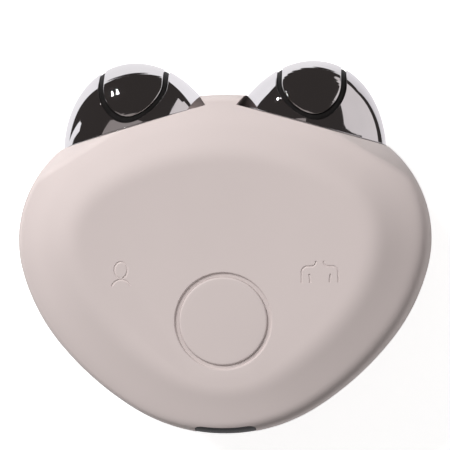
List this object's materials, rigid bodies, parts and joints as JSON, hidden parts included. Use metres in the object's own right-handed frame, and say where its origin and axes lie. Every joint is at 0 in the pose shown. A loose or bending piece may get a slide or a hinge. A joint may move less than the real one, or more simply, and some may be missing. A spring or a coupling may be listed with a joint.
{
  "type": "facial toning device",
  "caption": "Palm-held microcurrent toner: silicone-covered pebble with two chromed dome electrodes, a dished front with one push button, and a charging plate at its end.",
  "frame": {"origin": "under the middle of the device, on the flat of the back that it rests on", "axes": "+Z out of the front face, +Y towards the domes, +X to the right seen from the front"},
  "size_m": [0.0818, 0.0735, 0.035],
  "materials": {
    "silicone": "soft-touch matte silicone",
    "shell_plastic": "moulded",
    "steel": "plain",
    "black_plastic": "fine satin",
    "board": "solder mask",
    "ferrite": "sintered",
    "led": "resin",
    "clear_plastic": "clear moulded",
    "cell_foil": "satin foil",
    "foam": "foam",
    "wire": "insulated wire",
    "gold": "gold plated",
    "chrome": "mirror plated",
    "seal_rubber": "matte"
  },
  "bodies": {
    "housing": {"front_skin": "silicone", "rear_skin": "silicone", "front_shell": "shell_plastic", "rear_shell": "shell_plastic", "shell_screws": "steel", "tact_switch": "steel", "main_board": "board", "board_screws": "steel", "controller_chip": "black_plastic", "boost_coil": "ferrite", "buzzer": "black_plastic", "face_mode_led": "led", "body_mode_led": "led", "face_light_guide": "clear_plastic", "body_light_guide": "clear_plastic", "battery": "cell_foil", "battery_pad": "foam", "battery_leads": "wire", "charge_plate": "black_plastic", "charge_contacts": "gold", "charge_leads": "wire", "left_outer_electrode": "chrome", "right_outer_electrode": "chrome", "left_strap_electrode": "chrome", "right_strap_electrode": "chrome", "left_dome_core": "black_plastic", "right_dome_core": "black_plastic", "left_dome_seal": "seal_rubber", "right_dome_seal": "seal_rubber", "left_dome_clip": "steel", "right_dome_clip": "steel", "left_contact_pins": "gold", "right_contact_pins": "gold", "left_electrode_leads": "wire", "right_electrode_leads": "wire"},
    "button": {"button_pad": "silicone", "button_key": "shell_plastic", "switch_plunger": "black_plastic"}
  },
  "joints": [
    {"name": "button_press", "type": "slide", "parent": "housing", "child": "button", "axis": [0, 0, -1], "range_m": [0, 0.0004], "stiffness_N_per_m": 2500}
  ]
}
